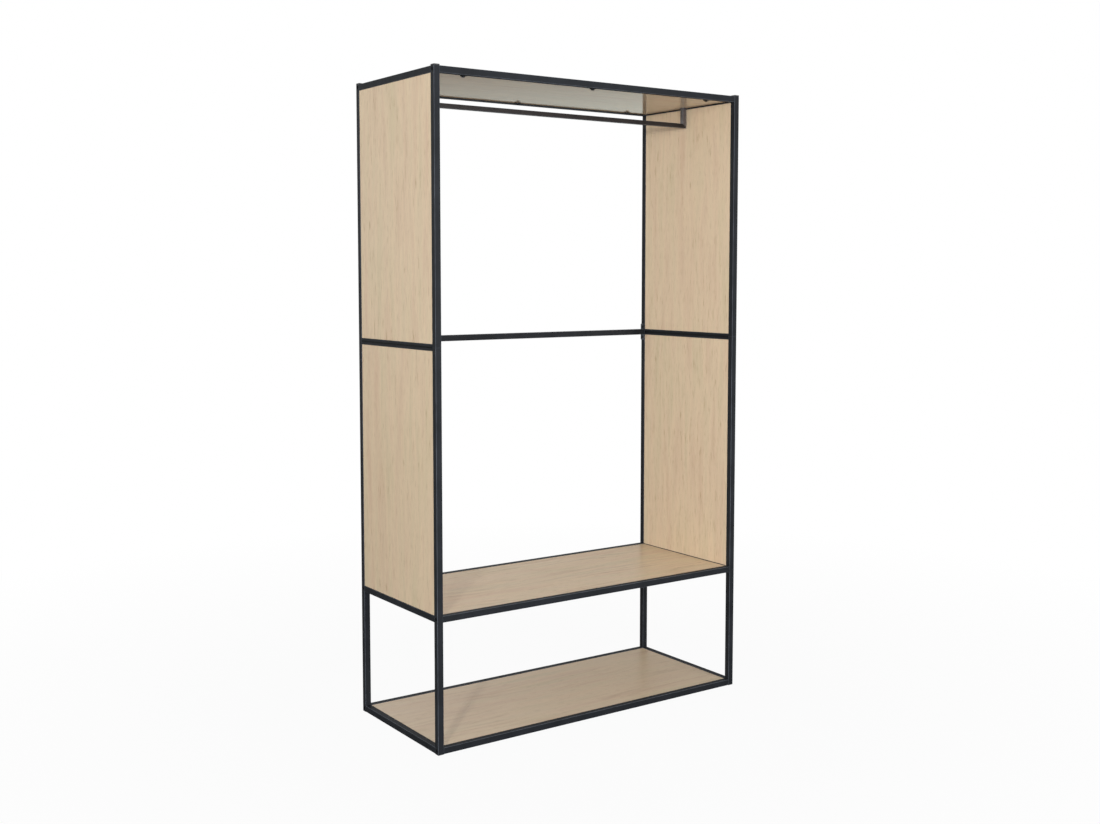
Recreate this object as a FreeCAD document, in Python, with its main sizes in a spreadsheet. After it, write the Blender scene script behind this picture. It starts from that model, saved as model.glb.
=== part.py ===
import FreeCAD, Part
import math
import os
import re
import Sketcher

# Open frame wardrobe: side frames stacked at a seam and tied by cross rails, with boards let into the frames.
# Millimetres; X runs along the front, Y goes from the front to the back, Z is up from the floor.
DIMENSIONS = {
    # whole wardrobe, from the soles of the feet to the crowns of the caps
    "width": 1200,
    "depth": 500,
    "height": 2060,
    # square steel tube of posts and rails
    "tube": 20,
    "tube_wall": 1.5,
    "tube_bevel": 1.4,
    "seam_edge": 0.5,
    # flat tube of the two rails that meet at the seam
    "half_rail": 10,
    # heights above the floor
    "foot_lift": 1,
    "shelf_level": 426,
    "seam_level": 1233,
    # end caps and feet pushed into the posts
    "cap_rise": 4,
    "foot_flange": 2.5,
    "end_bevel": 0.8,
    "leg_width": 10,
    "leg_thickness": 2,
    "leg_depth": 14,
    "push_clearance": 0.2,
    # splice that joins an upper post to a lower post
    "splice_length": 80,
    "splice_wall": 3,
    "splice_screw_drop": 14,
    "splice_screw_head": 9.6,
    "splice_screw_hole": 10.2,
    "splice_screw_length": 7,
    # bolts that hold the cross rails, with their heads inside the posts
    "bolt": 6,
    "bolt_hole": 6.6,
    "bolt_head": 10,
    "bolt_head_height": 5,
    "bolt_length": 20,
    "bolt_access": 11,
    # threaded plugs in the ends of the cross rails
    "plug_length": 18,
    "plug_bore": 6.6,
    # plates that tie the back mid rail to the upper and lower posts
    "tie_height": 60,
    "tie_thickness": 3,
    "tie_bevel": 2,
    "tie_bolt_offset": 20,
    # low bolts of the tie plates
    "button_head": 10.5,
    "button_height": 3,
    "button_crown": 1.6,
    "button_length": 7,
    "button_socket": 4.6,
    "button_socket_depth": 1.6,
    # horizontal boards and side panels
    "board_thickness": 15,
    "board_drop": 1,
    "panel_thickness": 18,
    "board_gap": 1.5,
    "board_edge": 0.6,
    # lugs under the horizontal boards
    "lug_width": 20,
    "lug_reach": 14,
    "lug_thickness": 3,
    "lug_inset": 100,
    "lug_hole": 4.6,
    # screws through the lugs
    "screw": 4,
    "screw_hole": 4.3,
    "screw_grip": 10,
    "screw_tip_room": 1,
    "pan_head": 12,
    "pan_height": 4,
    "pan_crown": 2,
    "flat_head": 10,
    "flat_height": 1.2,
    # screws through the side rails into the panel edges
    "panel_screw_spread": 240,
    "panel_screw_grip": 24,
    "panel_head": 7.5,
    "panel_head_height": 3,
    "panel_hole": 4.6,
    "panel_access": 8.5,
    # hanging rail: a bar on two risers with mitred corners
    "hang_tube": 15,
    "hang_wall": 1.2,
    "hang_bevel": 1.1,
    "hang_drop": 71,
    "hang_gap": 8,
    "hang_plug_length": 22,
    "hang_bolt_grip": 18,
    "hang_bore": 13,
    "hang_bore_depth": 4.5,
    # every cut runs this far past the material it leaves
    "overrun": 2,
}

doc = FreeCAD.newDocument("OpenFrameWardrobe")
dims = doc.addObject("Spreadsheet::Sheet", "Dims")
for row, (alias, length) in enumerate(DIMENSIONS.items(), start=1):
    dims.set("A%d" % row, alias)
    dims.set("B%d" % row, str(length))
    dims.setAlias("B%d" % row, alias)
doc.recompute()

# edges are told apart by height within this distance
MATCH_TOLERANCE = 1e-6
# half turn about the upright axis, for a piece made for the left or the front and used on the other side
HALF_TURN = FreeCAD.Rotation(FreeCAD.Vector(0, 0, 1), 180)
# turns that send a fastener's head from pointing up to pointing another way
HEAD_DOWN = FreeCAD.Rotation(FreeCAD.Vector(1, 0, 0), 180)
HEAD_LEFT = FreeCAD.Rotation(FreeCAD.Vector(0, 1, 0), -90)
HEAD_RIGHT = FreeCAD.Rotation(FreeCAD.Vector(0, 1, 0), 90)

# places that many pieces share
RAIL_TOP = "(height - cap_rise)"
TUBE_MIDDLE_X = "(width / 2 - tube / 2)"
TUBE_MIDDLE_Y = "(depth / 2 - tube / 2)"
CLEAR_WIDTH = "(width - 2 * tube)"
CLEAR_DEPTH = "(depth - 2 * tube)"
TUBE_BORE = "(tube - 2 * tube_wall)"
HANG_BORE = "(hang_tube - 2 * hang_wall)"
TOP_BOARD_BOTTOM = "(height - cap_rise - board_drop - board_thickness)"
SHELF_BOTTOM = "(shelf_level - board_drop - board_thickness)"
BASE_BOTTOM = "(foot_lift + tube - board_drop - board_thickness)"
LUG_SIDE = "(width / 2 - tube - lug_inset)"
LUG_SCREW_Y = "(depth / 2 - tube - lug_reach)"
RISER_MIDDLE = "(width / 2 - tube - hang_gap - hang_tube / 2)"

LEVELS = {
    "top": "(height - cap_rise - tube / 2)",
    "shelf": "(shelf_level - tube / 2)",
    "bottom": "(foot_lift + tube / 2)",
}
SIDES = {"left": "-", "right": ""}
ENDS = {"front": "-", "back": ""}

# small round fixings repeat often, so they and their holes are drawn with flats
SHANK_SIDES = 8
HIDDEN_HEAD_SIDES = 8
SHOWN_HEAD_SIDES = 12
KEY_SIDES = 6


def bound(text):
    return re.sub(r"[a-z_]+", r"Dims.\g<0>", text)


def measure(text):
    return float(dims.evalExpression(bound(text)))


def bind(item, property_name, text):
    item.setExpression(property_name, bound(text))


def place(item, x="0", y="0", z="0", turn=None):
    if turn:
        item.Placement = FreeCAD.Placement(FreeCAD.Vector(), turn)
    for axis, text in (("x", x), ("y", y), ("z", z)):
        bind(item, "Placement.Base." + axis, text)


def new_body(label):
    body = doc.addObject("PartDesign::Body", label)
    body.Label = label
    return body


def sketch_on(body, role):
    sketch = body.newObject("Sketcher::SketchObject", "Sketch")
    plane = next(item for item in body.Origin.OriginFeatures if item.Role == role)
    sketch.AttachmentSupport = [(plane, "")]
    sketch.MapMode = "FlatFace"
    return sketch


def dimension(sketch, kind, text, *references):
    index = sketch.addConstraint(Sketcher.Constraint(kind, *references, measure(text)))
    bind(sketch, "Constraints[%d]" % index, text)


def locate(sketch, geometry, point, x, y):
    for kind, axis, text in (("DistanceX", -2, x), ("DistanceY", -1, y)):
        if text == "0":
            sketch.addConstraint(Sketcher.Constraint("PointOnObject", geometry, point, axis))
        else:
            dimension(sketch, kind, text, -1, 1, geometry, point)


def draw_polygon(sketch, corners):
    points = [FreeCAD.Vector(measure(x), measure(y), 0) for x, y in corners]
    lines = []
    for start, end in zip(points, points[1:] + points[:1]):
        lines.append(sketch.addGeometry(Part.LineSegment(start, end)))
    for line, following in zip(lines, lines[1:] + lines[:1]):
        sketch.addConstraint(Sketcher.Constraint("Coincident", line, 2, following, 1))
    for line, (x, y) in zip(lines, corners):
        locate(sketch, line, 1, x, y)


def draw_circle(sketch, x, y, diameter):
    centre = FreeCAD.Vector(measure(x), measure(y), 0)
    circle = Part.Circle(centre, FreeCAD.Vector(0, 0, 1), measure(diameter) / 2)
    ring = sketch.addGeometry(circle)
    locate(sketch, ring, 3, x, y)
    dimension(sketch, "Diameter", diameter, ring)


# regular polygon with its corners on a circle and flats towards the sketch's axes
def draw_flats(sketch, x, y, diameter, sides):
    corners = []
    for number in range(sides):
        angle = math.pi * (2 * number + 1) / sides
        across_share, along_share = math.cos(angle) / 2, math.sin(angle) / 2
        corner_x = "%s + %s * %f" % (x, diameter, across_share)
        corner_y = "%s + %s * %f" % (y, diameter, along_share)
        corners.append((corner_x, corner_y))
    draw_polygon(sketch, corners)


def draw_rectangle(sketch, across, along):
    right, top = across + " / 2", along + " / 2"
    left, bottom = "-" + right, "-" + top
    draw_polygon(sketch, [(left, bottom), (right, bottom), (right, top), (left, top)])


# rectangle about the origin with its four corners cut off alike
def draw_bevelled(sketch, across, along, bevel):
    right, top = across + " / 2", along + " / 2"
    left, bottom = "-" + right, "-" + top
    draw_polygon(sketch, [
        (left + " + " + bevel, bottom), (right + " - " + bevel, bottom),
        (right, bottom + " + " + bevel), (right, top + " - " + bevel),
        (right + " - " + bevel, top), (left + " + " + bevel, top),
        (left, top + " - " + bevel), (left, bottom + " + " + bevel),
    ])


def pad(body, sketch, length, symmetric=False, reverse=False):
    feature = body.newObject("PartDesign::Pad", "Pad")
    feature.Profile = sketch
    feature.SideType = "Symmetric" if symmetric else "One side"
    feature.Reversed = reverse
    bind(feature, "Length", length)
    doc.recompute()
    return feature


# a cut that removes nothing points the wrong way, so it stops the build
def pocket(body, sketch, depth, symmetric=False, reverse=False):
    volume_before = body.Shape.Volume
    feature = body.newObject("PartDesign::Pocket", "Pocket")
    feature.Profile = sketch
    feature.SideType = "Symmetric" if symmetric else "One side"
    feature.Reversed = reverse
    bind(feature, "Length", depth)
    doc.recompute()
    if not body.Shape.Volume < volume_before:
        raise RuntimeError("a cut in %s removes nothing" % body.Label)
    return feature


def drill(body, role, holes, depth, reverse=False, sides=SHANK_SIDES, lift="0"):
    sketch = sketch_on(body, role)
    bind(sketch, "AttachmentOffset.Base.z", lift)
    for x, y, diameter in holes:
        draw_flats(sketch, x, y, diameter, sides)
    return pocket(body, sketch, depth, reverse=reverse)


def edge_names(feature, wanted):
    return ["Edge%d" % number for number, edge in enumerate(feature.Shape.Edges, start=1) if wanted(edge)]


def bevel_edges(body, bevel, wanted):
    plain = body.Tip
    chamfer = body.newObject("PartDesign::Chamfer", "Chamfer")
    chamfer.Base = (plain, edge_names(plain, wanted))
    bind(chamfer, "Size", bevel)
    doc.recompute()


def at_height(text):
    level = measure(text)
    return lambda edge: all(abs(vertex.Z - level) < MATCH_TOLERANCE for vertex in edge.Vertexes)


# several like pieces in one node, each a solid of its own
def group(label, source, places):
    links = []
    for number, (x, y, z, turn) in enumerate(places, start=1):
        link = doc.addObject("App::Link", "%s_%d" % (label, number))
        link.LinkedObject = source
        place(link, x, y, z, turn)
        links.append(link)
    compound = doc.addObject("Part::Compound", label)
    compound.Label = label
    compound.Links = links
    return compound


# hollow tube of the frame along one axis of its own frame
def frame_tube(label, role, height, length, symmetric):
    body = new_body(label)
    sketch = sketch_on(body, role)
    draw_bevelled(sketch, "tube", height, "tube_bevel")
    draw_rectangle(sketch, TUBE_BORE, "(" + height + " - 2 * tube_wall)")
    pad(body, sketch, length, symmetric=symmetric)
    return body


# post with its outer wall towards -X: access holes outside, bolt holes inside and a bevelled end at the seam
def post(label, length, seam_end, bolts, splice_screws, tie_bolts):
    body = frame_tube(label, "XY_Plane", "tube", length, symmetric=False)
    at_seam = at_height(seam_end)
    wall_middle = measure("tube / 2 - tube_wall / 2")
    bevel_edges(body, "seam_edge", lambda edge: at_seam(edge) and reach(edge) > wall_middle)
    through_wall = "tube / 2 + overrun"
    access = sketch_on(body, "YZ_Plane")
    for level in bolts:
        draw_circle(access, "0", level, "bolt_access")
    pocket(body, access, through_wall)
    if splice_screws:
        screw_holes = [("0", level, "splice_screw_hole") for level in splice_screws]
        drill(body, "YZ_Plane", screw_holes, through_wall, sides=SHOWN_HEAD_SIDES)
    inside = [("0", level, "bolt_hole") for level in bolts + tie_bolts]
    drill(body, "YZ_Plane", inside, through_wall, reverse=True)
    return body


def reach(edge):
    return min(max(abs(vertex.X), abs(vertex.Y)) for vertex in edge.Vertexes)


def build_posts():
    pieces = []
    upper_foot, lower_foot = "seam_level", "foot_flange"
    upper_length = RAIL_TOP + " - seam_level"
    lower_length = "seam_level - foot_flange"
    for side, side_sign in SIDES.items():
        turn = HALF_TURN if side == "right" else None
        for end, end_sign in ENDS.items():
            ties_up = ["tie_bolt_offset"] if end == "back" else []
            ties_down = [lower_length + " - tie_bolt_offset"] if end == "back" else []
            name = end + "_" + side
            upper_bolts = [LEVELS["top"] + " - seam_level"]
            lower_bolts = [LEVELS[level] + " - foot_flange" for level in ("shelf", "bottom")]
            splice_screw = lower_length + " - splice_screw_drop"
            upper = post(name + "_upper_post", upper_length, "0", upper_bolts, [], ties_up)
            lower = post(name + "_lower_post", lower_length, lower_length, lower_bolts,
                         [splice_screw], ties_down)
            for piece, foot in ((upper, upper_foot), (lower, lower_foot)):
                place(piece, side_sign + TUBE_MIDDLE_X, end_sign + TUBE_MIDDLE_Y, foot, turn)
                pieces.append(piece)
    return pieces


# rail between a front and a back post; the panel that it carries lies above it, below it or nowhere
def side_rail(label, height, panel):
    body = frame_tube(label, "XZ_Plane", height, CLEAR_DEPTH, symmetric=True)
    if panel:
        spread = ("-panel_screw_spread / 2", "panel_screw_spread / 2")
        narrow = [("0", y, "panel_hole") for y in spread]
        wide = [("0", y, "panel_access") for y in spread]
        drill(body, "XY_Plane", narrow, height + " / 2 + overrun", reverse=panel == "above")
        drill(body, "XY_Plane", wide, height + " / 2 + overrun", reverse=panel == "below")
    return body


def build_side_rails():
    kinds = (
        ("top_rail", "tube", LEVELS["top"], "below"),
        ("upper_mid_rail", "half_rail", "seam_level + half_rail / 2", "above"),
        ("lower_mid_rail", "half_rail", "seam_level - half_rail / 2", "below"),
        ("shelf_rail", "tube", LEVELS["shelf"], "above"),
        ("bottom_rail", "tube", LEVELS["bottom"], None),
    )
    pieces = []
    for side, sign in SIDES.items():
        for kind, height, level, panel in kinds:
            rail = side_rail(side + "_" + kind, height, panel)
            place(rail, sign + TUBE_MIDDLE_X, "0", level)
            pieces.append(rail)
    return pieces


def build_cross_rails():
    pieces = []
    for end, sign in ENDS.items():
        for name, level in LEVELS.items():
            rail = frame_tube(end + "_" + name + "_rail", "YZ_Plane", "tube", CLEAR_WIDTH, symmetric=True)
            place(rail, "0", sign + TUBE_MIDDLE_Y, level)
            pieces.append(rail)
    mid_length = CLEAR_WIDTH + " - 2 * tie_thickness"
    mid_rail = frame_tube("back_mid_rail", "YZ_Plane", "tube", mid_length, symmetric=True)
    place(mid_rail, "0", TUBE_MIDDLE_Y, "seam_level")
    pieces.append(mid_rail)
    return pieces


# moulded end piece: a flange the size of the tube and two legs that grip its front and back walls
def post_end(label, flange, legs_up):
    body = new_body(label)
    sketch = sketch_on(body, "XY_Plane")
    draw_bevelled(sketch, "tube", "tube", "tube_bevel")
    pad(body, sketch, flange)
    bevel_edges(body, "end_bevel", at_height("0" if legs_up else flange))
    legs = sketch_on(body, "XY_Plane")
    outer = "(" + TUBE_BORE + " / 2 - push_clearance)"
    inner = "(" + outer + " - leg_thickness)"
    left, right = "-leg_width / 2", "leg_width / 2"
    for near, far in ((inner, outer), ("-" + outer, "-" + inner)):
        draw_polygon(legs, [(left, near), (right, near), (right, far), (left, far)])
    bind(legs, "AttachmentOffset.Base.z", flange if legs_up else "0")
    pad(body, legs, "leg_depth", reverse=not legs_up)
    return body


def build_post_ends():
    pieces = []
    for side, side_sign in SIDES.items():
        for end, end_sign in ENDS.items():
            name = end + "_" + side
            cap = post_end(name + "_cap", "cap_rise", legs_up=False)
            foot = post_end(name + "_foot", "foot_flange", legs_up=True)
            for piece, level in ((cap, RAIL_TOP), (foot, "0")):
                place(piece, side_sign + TUBE_MIDDLE_X, end_sign + TUBE_MIDDLE_Y, level)
                pieces.append(piece)
    return pieces


# square sleeve inside the posts at the seam, tapped for the screws that reach it
def splice(label, tied):
    body = new_body(label)
    sketch = sketch_on(body, "XY_Plane")
    sleeve = "(" + TUBE_BORE + " - 2 * push_clearance)"
    bore = "(" + sleeve + " - 2 * splice_wall)"
    draw_rectangle(sketch, sleeve, sleeve)
    draw_rectangle(sketch, bore, bore)
    pad(body, sketch, "splice_length", symmetric=True)
    drill(body, "YZ_Plane", [("0", "-splice_screw_drop", "plug_bore")], "tube / 2")
    if tied:
        ties = [("0", sign + "tie_bolt_offset", "plug_bore") for sign in ("-", "")]
        drill(body, "YZ_Plane", ties, "tube / 2", reverse=True)
    return body


def build_splices():
    pieces = []
    for side, side_sign in SIDES.items():
        turn = HALF_TURN if side == "right" else None
        for end, end_sign in ENDS.items():
            piece = splice(end + "_" + side + "_splice", end == "back")
            place(piece, side_sign + TUBE_MIDDLE_X, end_sign + TUBE_MIDDLE_Y, "seam_level", turn)
            pieces.append(piece)
    return pieces


# horizontal board with its underside at its own origin and pilot holes for the lug screws
def board(label):
    body = new_body(label)
    sketch = sketch_on(body, "XY_Plane")
    draw_rectangle(sketch, "(" + CLEAR_WIDTH + " - 2 * board_gap)", "(" + CLEAR_DEPTH + " - 2 * board_gap)")
    pad(body, sketch, "board_thickness")
    bevel_edges(body, "board_edge", lambda edge: True)
    pilots = [(x, sign + LUG_SCREW_Y, "screw_hole") for x in lug_stations() for sign in ENDS.values()]
    drill(body, "XY_Plane", pilots, "screw_grip + screw_tip_room", reverse=True)
    return body


def lug_stations():
    return ["-" + LUG_SIDE, "0", LUG_SIDE]


def build_boards():
    top_board = board("top_board")
    hanger_holes = [(sign + RISER_MIDDLE, "0", "bolt_hole") for sign in SIDES.values()]
    drill(top_board, "XY_Plane", hanger_holes, "board_thickness + overrun", reverse=True)
    recesses = [(x, y, "hang_bore") for x, y, hole in hanger_holes]
    drill(top_board, "XY_Plane", recesses, "hang_bore_depth", sides=SHOWN_HEAD_SIDES, lift="board_thickness")
    shelf_board = board("shelf_board")
    bottom_board = board("bottom_board")
    place(top_board, z=TOP_BOARD_BOTTOM)
    place(shelf_board, z=SHELF_BOTTOM)
    place(bottom_board, z=BASE_BOTTOM)
    return [top_board, shelf_board, bottom_board]


# side panel about its own middle, with screw holes in its upper and lower edges
def side_panel(label, height):
    body = new_body(label)
    sketch = sketch_on(body, "YZ_Plane")
    draw_rectangle(sketch, "(" + CLEAR_DEPTH + " - 2 * board_gap)", height)
    pad(body, sketch, "panel_thickness", symmetric=True)
    bevel_edges(body, "board_edge", lambda edge: True)
    holes = [("0", sign + "panel_screw_spread / 2", "screw_hole") for sign in ENDS.values()]
    depth = "panel_screw_grip + screw_tip_room"
    drill(body, "XY_Plane", holes, depth, reverse=True, lift="-" + height + " / 2")
    drill(body, "XY_Plane", holes, depth, lift=height + " / 2")
    return body


def build_panels():
    upper_low, upper_high = "seam_level + half_rail + board_gap", RAIL_TOP + " - tube - board_gap"
    lower_low, lower_high = "shelf_level + board_gap", "seam_level - half_rail - board_gap"
    pieces = []
    for side, sign in SIDES.items():
        for name, low, high in (("upper", upper_low, upper_high), ("lower", lower_low, lower_high)):
            panel = side_panel(side + "_" + name + "_panel", "(" + high + " - (" + low + "))")
            place(panel, sign + TUBE_MIDDLE_X, "0", "(" + low + " + " + high + ") / 2")
            pieces.append(panel)
    return pieces


# screw or bolt with the seat of its head at its own origin and its shank pointing down
def fastener(name, head, head_height, shank, length, head_sides=HIDDEN_HEAD_SIDES, crown=None):
    body = new_body(name)
    head_sketch = sketch_on(body, "XY_Plane")
    draw_flats(head_sketch, "0", "0", head, head_sides)
    pad(body, head_sketch, head_height)
    if crown:
        bevel_edges(body, crown, at_height(head_height))
    shank_sketch = sketch_on(body, "XY_Plane")
    draw_flats(shank_sketch, "0", "0", shank, SHANK_SIDES)
    pad(body, shank_sketch, length, reverse=True)
    return body


# six-sided key socket sunk into a fastener's head
def key_socket(body, head_height, across_corners, depth):
    volume_before = body.Shape.Volume
    socket = body.newObject("PartDesign::SubtractivePrism", "Socket")
    socket.Polygon = KEY_SIDES
    bind(socket, "Circumradius", across_corners + " / 2")
    bind(socket, "Height", depth + " + overrun")
    plane = next(item for item in body.Origin.OriginFeatures if item.Role == "XY_Plane")
    socket.AttachmentSupport = [(plane, "")]
    socket.MapMode = "FlatFace"
    bind(socket, "AttachmentOffset.Base.z", head_height + " - " + depth)
    doc.recompute()
    if not body.Shape.Volume < volume_before:
        raise RuntimeError("the socket of %s removes nothing" % body.Label)


# bolts through the posts into threaded plugs, at each end of the six bolted cross rails
def build_rail_fixings():
    bolt_source = fastener("rail_bolt", "bolt_head", "bolt_head_height", "bolt", "bolt_length")
    plug_source = new_body("rail_end_plug")
    sketch = sketch_on(plug_source, "YZ_Plane")
    plug_size = "(" + TUBE_BORE + " - 2 * push_clearance)"
    draw_rectangle(sketch, plug_size, plug_size)
    draw_flats(sketch, "0", "0", "plug_bore", SHANK_SIDES)
    pad(plug_source, sketch, "plug_length")
    bolts, plugs = [], []
    for side, side_sign in SIDES.items():
        head_turn = HEAD_LEFT if side == "left" else HEAD_RIGHT
        plug_turn = None if side == "left" else HALF_TURN
        for end_sign in ENDS.values():
            for level in LEVELS.values():
                y = end_sign + TUBE_MIDDLE_Y
                bolts.append((side_sign + "(width / 2 - tube + tube_wall)", y, level, head_turn))
                plugs.append((side_sign + "(width / 2 - tube)", y, level, plug_turn))
    return [group("rail_bolts", bolt_source, bolts), group("rail_end_plugs", plug_source, plugs)]


def build_ties():
    plate_source = new_body("tie_plate")
    sketch = sketch_on(plate_source, "YZ_Plane")
    draw_bevelled(sketch, "tube", "tie_height", "tie_bevel")
    for sign in ("-", ""):
        draw_flats(sketch, "0", sign + "tie_bolt_offset", "bolt_hole", SHANK_SIDES)
    pad(plate_source, sketch, "tie_thickness", symmetric=True)
    bolt_source = fastener("tie_bolt", "button_head", "button_height", "bolt",
                           "button_length + tie_thickness", SHOWN_HEAD_SIDES, "button_crown")
    key_socket(bolt_source, "button_height", "button_socket", "button_socket_depth")
    screw_source = fastener("splice_screw", "splice_screw_head", "tube_wall", "bolt",
                            "splice_screw_length", SHOWN_HEAD_SIDES)
    key_socket(screw_source, "tube_wall", "button_socket", "button_socket_depth")
    plates, bolts, screws = [], [], []
    for side, sign in SIDES.items():
        inward, outward = (HEAD_RIGHT, HEAD_LEFT) if side == "left" else (HEAD_LEFT, HEAD_RIGHT)
        plates.append((sign + "(width / 2 - tube - tie_thickness / 2)", TUBE_MIDDLE_Y, "seam_level", None))
        for step in ("-", "+"):
            level = "seam_level " + step + " tie_bolt_offset"
            bolts.append((sign + "(width / 2 - tube - tie_thickness)", TUBE_MIDDLE_Y, level, inward))
        for end_sign in ENDS.values():
            level = "seam_level - splice_screw_drop"
            seat = sign + "(width / 2 - tube_wall - push_clearance)"
            screws.append((seat, end_sign + TUBE_MIDDLE_Y, level, outward))
    return [
        group("tie_plates", plate_source, plates),
        group("tie_bolts", bolt_source, bolts),
        group("splice_screws", screw_source, screws),
    ]


# round-ended tab, welded to a rail, with its upper face at its own origin
def lug():
    body = new_body("board_lug")
    sketch = sketch_on(body, "XY_Plane")
    half, straight = measure("lug_width / 2"), measure("lug_reach")
    root_left, root_right = FreeCAD.Vector(-half, 0, 0), FreeCAD.Vector(half, 0, 0)
    end_right, end_left = FreeCAD.Vector(half, straight, 0), FreeCAD.Vector(-half, straight, 0)
    crest = FreeCAD.Vector(0, straight + half, 0)
    root = sketch.addGeometry(Part.LineSegment(root_left, root_right))
    right = sketch.addGeometry(Part.LineSegment(root_right, end_right))
    nose = sketch.addGeometry(Part.Arc(end_right, crest, end_left))
    left = sketch.addGeometry(Part.LineSegment(end_left, root_left))
    sketch.addConstraint(Sketcher.Constraint("Coincident", root, 2, right, 1))
    sketch.addConstraint(Sketcher.Constraint("Tangent", right, 2, nose, 1))
    sketch.addConstraint(Sketcher.Constraint("Tangent", nose, 2, left, 1))
    sketch.addConstraint(Sketcher.Constraint("Coincident", left, 2, root, 1))
    sketch.addConstraint(Sketcher.Constraint("Vertical", right))
    sketch.addConstraint(Sketcher.Constraint("Symmetric", root, 1, root, 2, -1, 1))
    sketch.addConstraint(Sketcher.Constraint("PointOnObject", root, 1, -1))
    dimension(sketch, "DistanceX", "lug_width", root, 1, root, 2)
    locate(sketch, nose, 3, "0", "lug_reach")
    draw_flats(sketch, "0", "lug_reach", "lug_hole", SHANK_SIDES)
    pad(body, sketch, "lug_thickness", reverse=True)
    return body


def build_lugs():
    lug_source = lug()
    screw_length = "lug_thickness + screw_grip"
    pan_source = fastener("pan_screw", "pan_head", "pan_height", "screw", screw_length,
                          SHOWN_HEAD_SIDES, "pan_crown")
    flat_source = fastener("flat_screw", "flat_head", "flat_height", "screw", screw_length)
    lugs, pan_screws, flat_screws = [], [], []
    for underside in (TOP_BOARD_BOTTOM, SHELF_BOTTOM, BASE_BOTTOM):
        screws = flat_screws if underside == BASE_BOTTOM else pan_screws
        for end, sign in ENDS.items():
            turn = HALF_TURN if end == "back" else None
            for x in lug_stations():
                lugs.append((x, sign + "(depth / 2 - tube)", underside, turn))
                screws.append((x, sign + LUG_SCREW_Y, underside + " - lug_thickness", HEAD_DOWN))
    return [
        group("board_lugs", lug_source, lugs),
        group("board_screws", pan_source, pan_screws),
        group("bottom_board_screws", flat_source, flat_screws),
    ]


# each screw sits on the rail wall next to its panel and is reached through the far wall
def build_panel_screws():
    length = "tube_wall + board_gap + panel_screw_grip"
    source = fastener("panel_screw", "panel_head", "panel_head_height", "screw", length)
    seats = (
        (RAIL_TOP + " - tube + tube_wall", None),
        ("seam_level + half_rail - tube_wall", HEAD_DOWN),
        ("seam_level - half_rail + tube_wall", None),
        ("shelf_level - tube_wall", HEAD_DOWN),
    )
    places = []
    for side_sign in SIDES.values():
        for end_sign in ENDS.values():
            for level, turn in seats:
                places.append((side_sign + TUBE_MIDDLE_X, end_sign + "panel_screw_spread / 2", level, turn))
    return group("panel_screws", source, places)


def hang_section(sketch):
    draw_bevelled(sketch, "hang_tube", "hang_tube", "hang_bevel")
    draw_rectangle(sketch, HANG_BORE, HANG_BORE)


# bar cut at 45 degrees at both ends, so that each riser closes the corner
def hanging_bar():
    body = new_body("hanging_bar")
    sketch = sketch_on(body, "YZ_Plane")
    hang_section(sketch)
    end, half = "(width / 2 - tube - hang_gap)", "hang_tube / 2"
    pad(body, sketch, "2 * " + end, symmetric=True)
    mitres = sketch_on(body, "XZ_Plane")
    for sign in SIDES.values():
        inner, outer = sign + "(" + end + " - hang_tube - overrun)", sign + "(" + end + " + overrun)"
        top, bottom = half + " + overrun", "-(" + half + " + overrun)"
        draw_polygon(mitres, [(inner, top), (outer, top), (outer, bottom)])
    pocket(body, mitres, "2 * hang_tube", symmetric=True)
    place(body, z=TOP_BOARD_BOTTOM + " - hang_drop + hang_tube / 2")
    return body


# riser with its foot mitred against the bar, made for the right-hand side
def hanger_riser(label):
    body = new_body(label)
    sketch = sketch_on(body, "XY_Plane")
    hang_section(sketch)
    pad(body, sketch, "hang_drop")
    mitre = sketch_on(body, "XZ_Plane")
    inner, outer = "-(hang_tube / 2 + overrun)", "hang_tube / 2 + overrun"
    draw_polygon(mitre, [(inner, "hang_tube + overrun"), (inner, "-overrun"), (outer, "-overrun")])
    pocket(body, mitre, "2 * hang_tube", symmetric=True)
    return body


def build_hanging_rail():
    pieces = [hanging_bar()]
    plug_source = new_body("hanger_plug")
    sketch = sketch_on(plug_source, "XY_Plane")
    plug_size = "(" + HANG_BORE + " - 2 * push_clearance)"
    draw_rectangle(sketch, plug_size, plug_size)
    draw_flats(sketch, "0", "0", "plug_bore", SHANK_SIDES)
    pad(plug_source, sketch, "hang_plug_length", reverse=True)
    bolt_length = "board_thickness - hang_bore_depth + hang_bolt_grip"
    bolt_source = fastener("hanger_bolt", "pan_head", "pan_height", "bolt", bolt_length,
                           SHOWN_HEAD_SIDES, "pan_crown")
    seat = TOP_BOARD_BOTTOM + " + board_thickness - hang_bore_depth"
    plugs, bolts = [], []
    for side, sign in SIDES.items():
        turn = HALF_TURN if side == "left" else None
        riser = hanger_riser(side + "_hanger_riser")
        place(riser, sign + RISER_MIDDLE, "0", TOP_BOARD_BOTTOM + " - hang_drop", turn)
        pieces.append(riser)
        plugs.append((sign + RISER_MIDDLE, "0", TOP_BOARD_BOTTOM, None))
        bolts.append((sign + RISER_MIDDLE, "0", seat, None))
    pieces.append(group("hanger_plugs", plug_source, plugs))
    pieces.append(group("hanger_bolts", bolt_source, bolts))
    return pieces


pieces = []
pieces += build_posts()
pieces += build_side_rails()
pieces += build_cross_rails()
pieces += build_post_ends()
pieces += build_splices()
pieces += build_boards()
pieces += build_panels()
pieces += build_rail_fixings()
pieces += build_ties()
pieces += build_lugs()
pieces.append(build_panel_screws())
pieces += build_hanging_rail()
doc.recompute()

for item in doc.Objects:
    if "Invalid" in item.State or "Error" in item.State:
        raise RuntimeError("%s did not build: %s" % (item.Label, item.State))
for piece in pieces:
    if piece.Shape.isNull() or not piece.Shape.isValid():
        raise RuntimeError("%s has no valid shape" % piece.Label)

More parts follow.
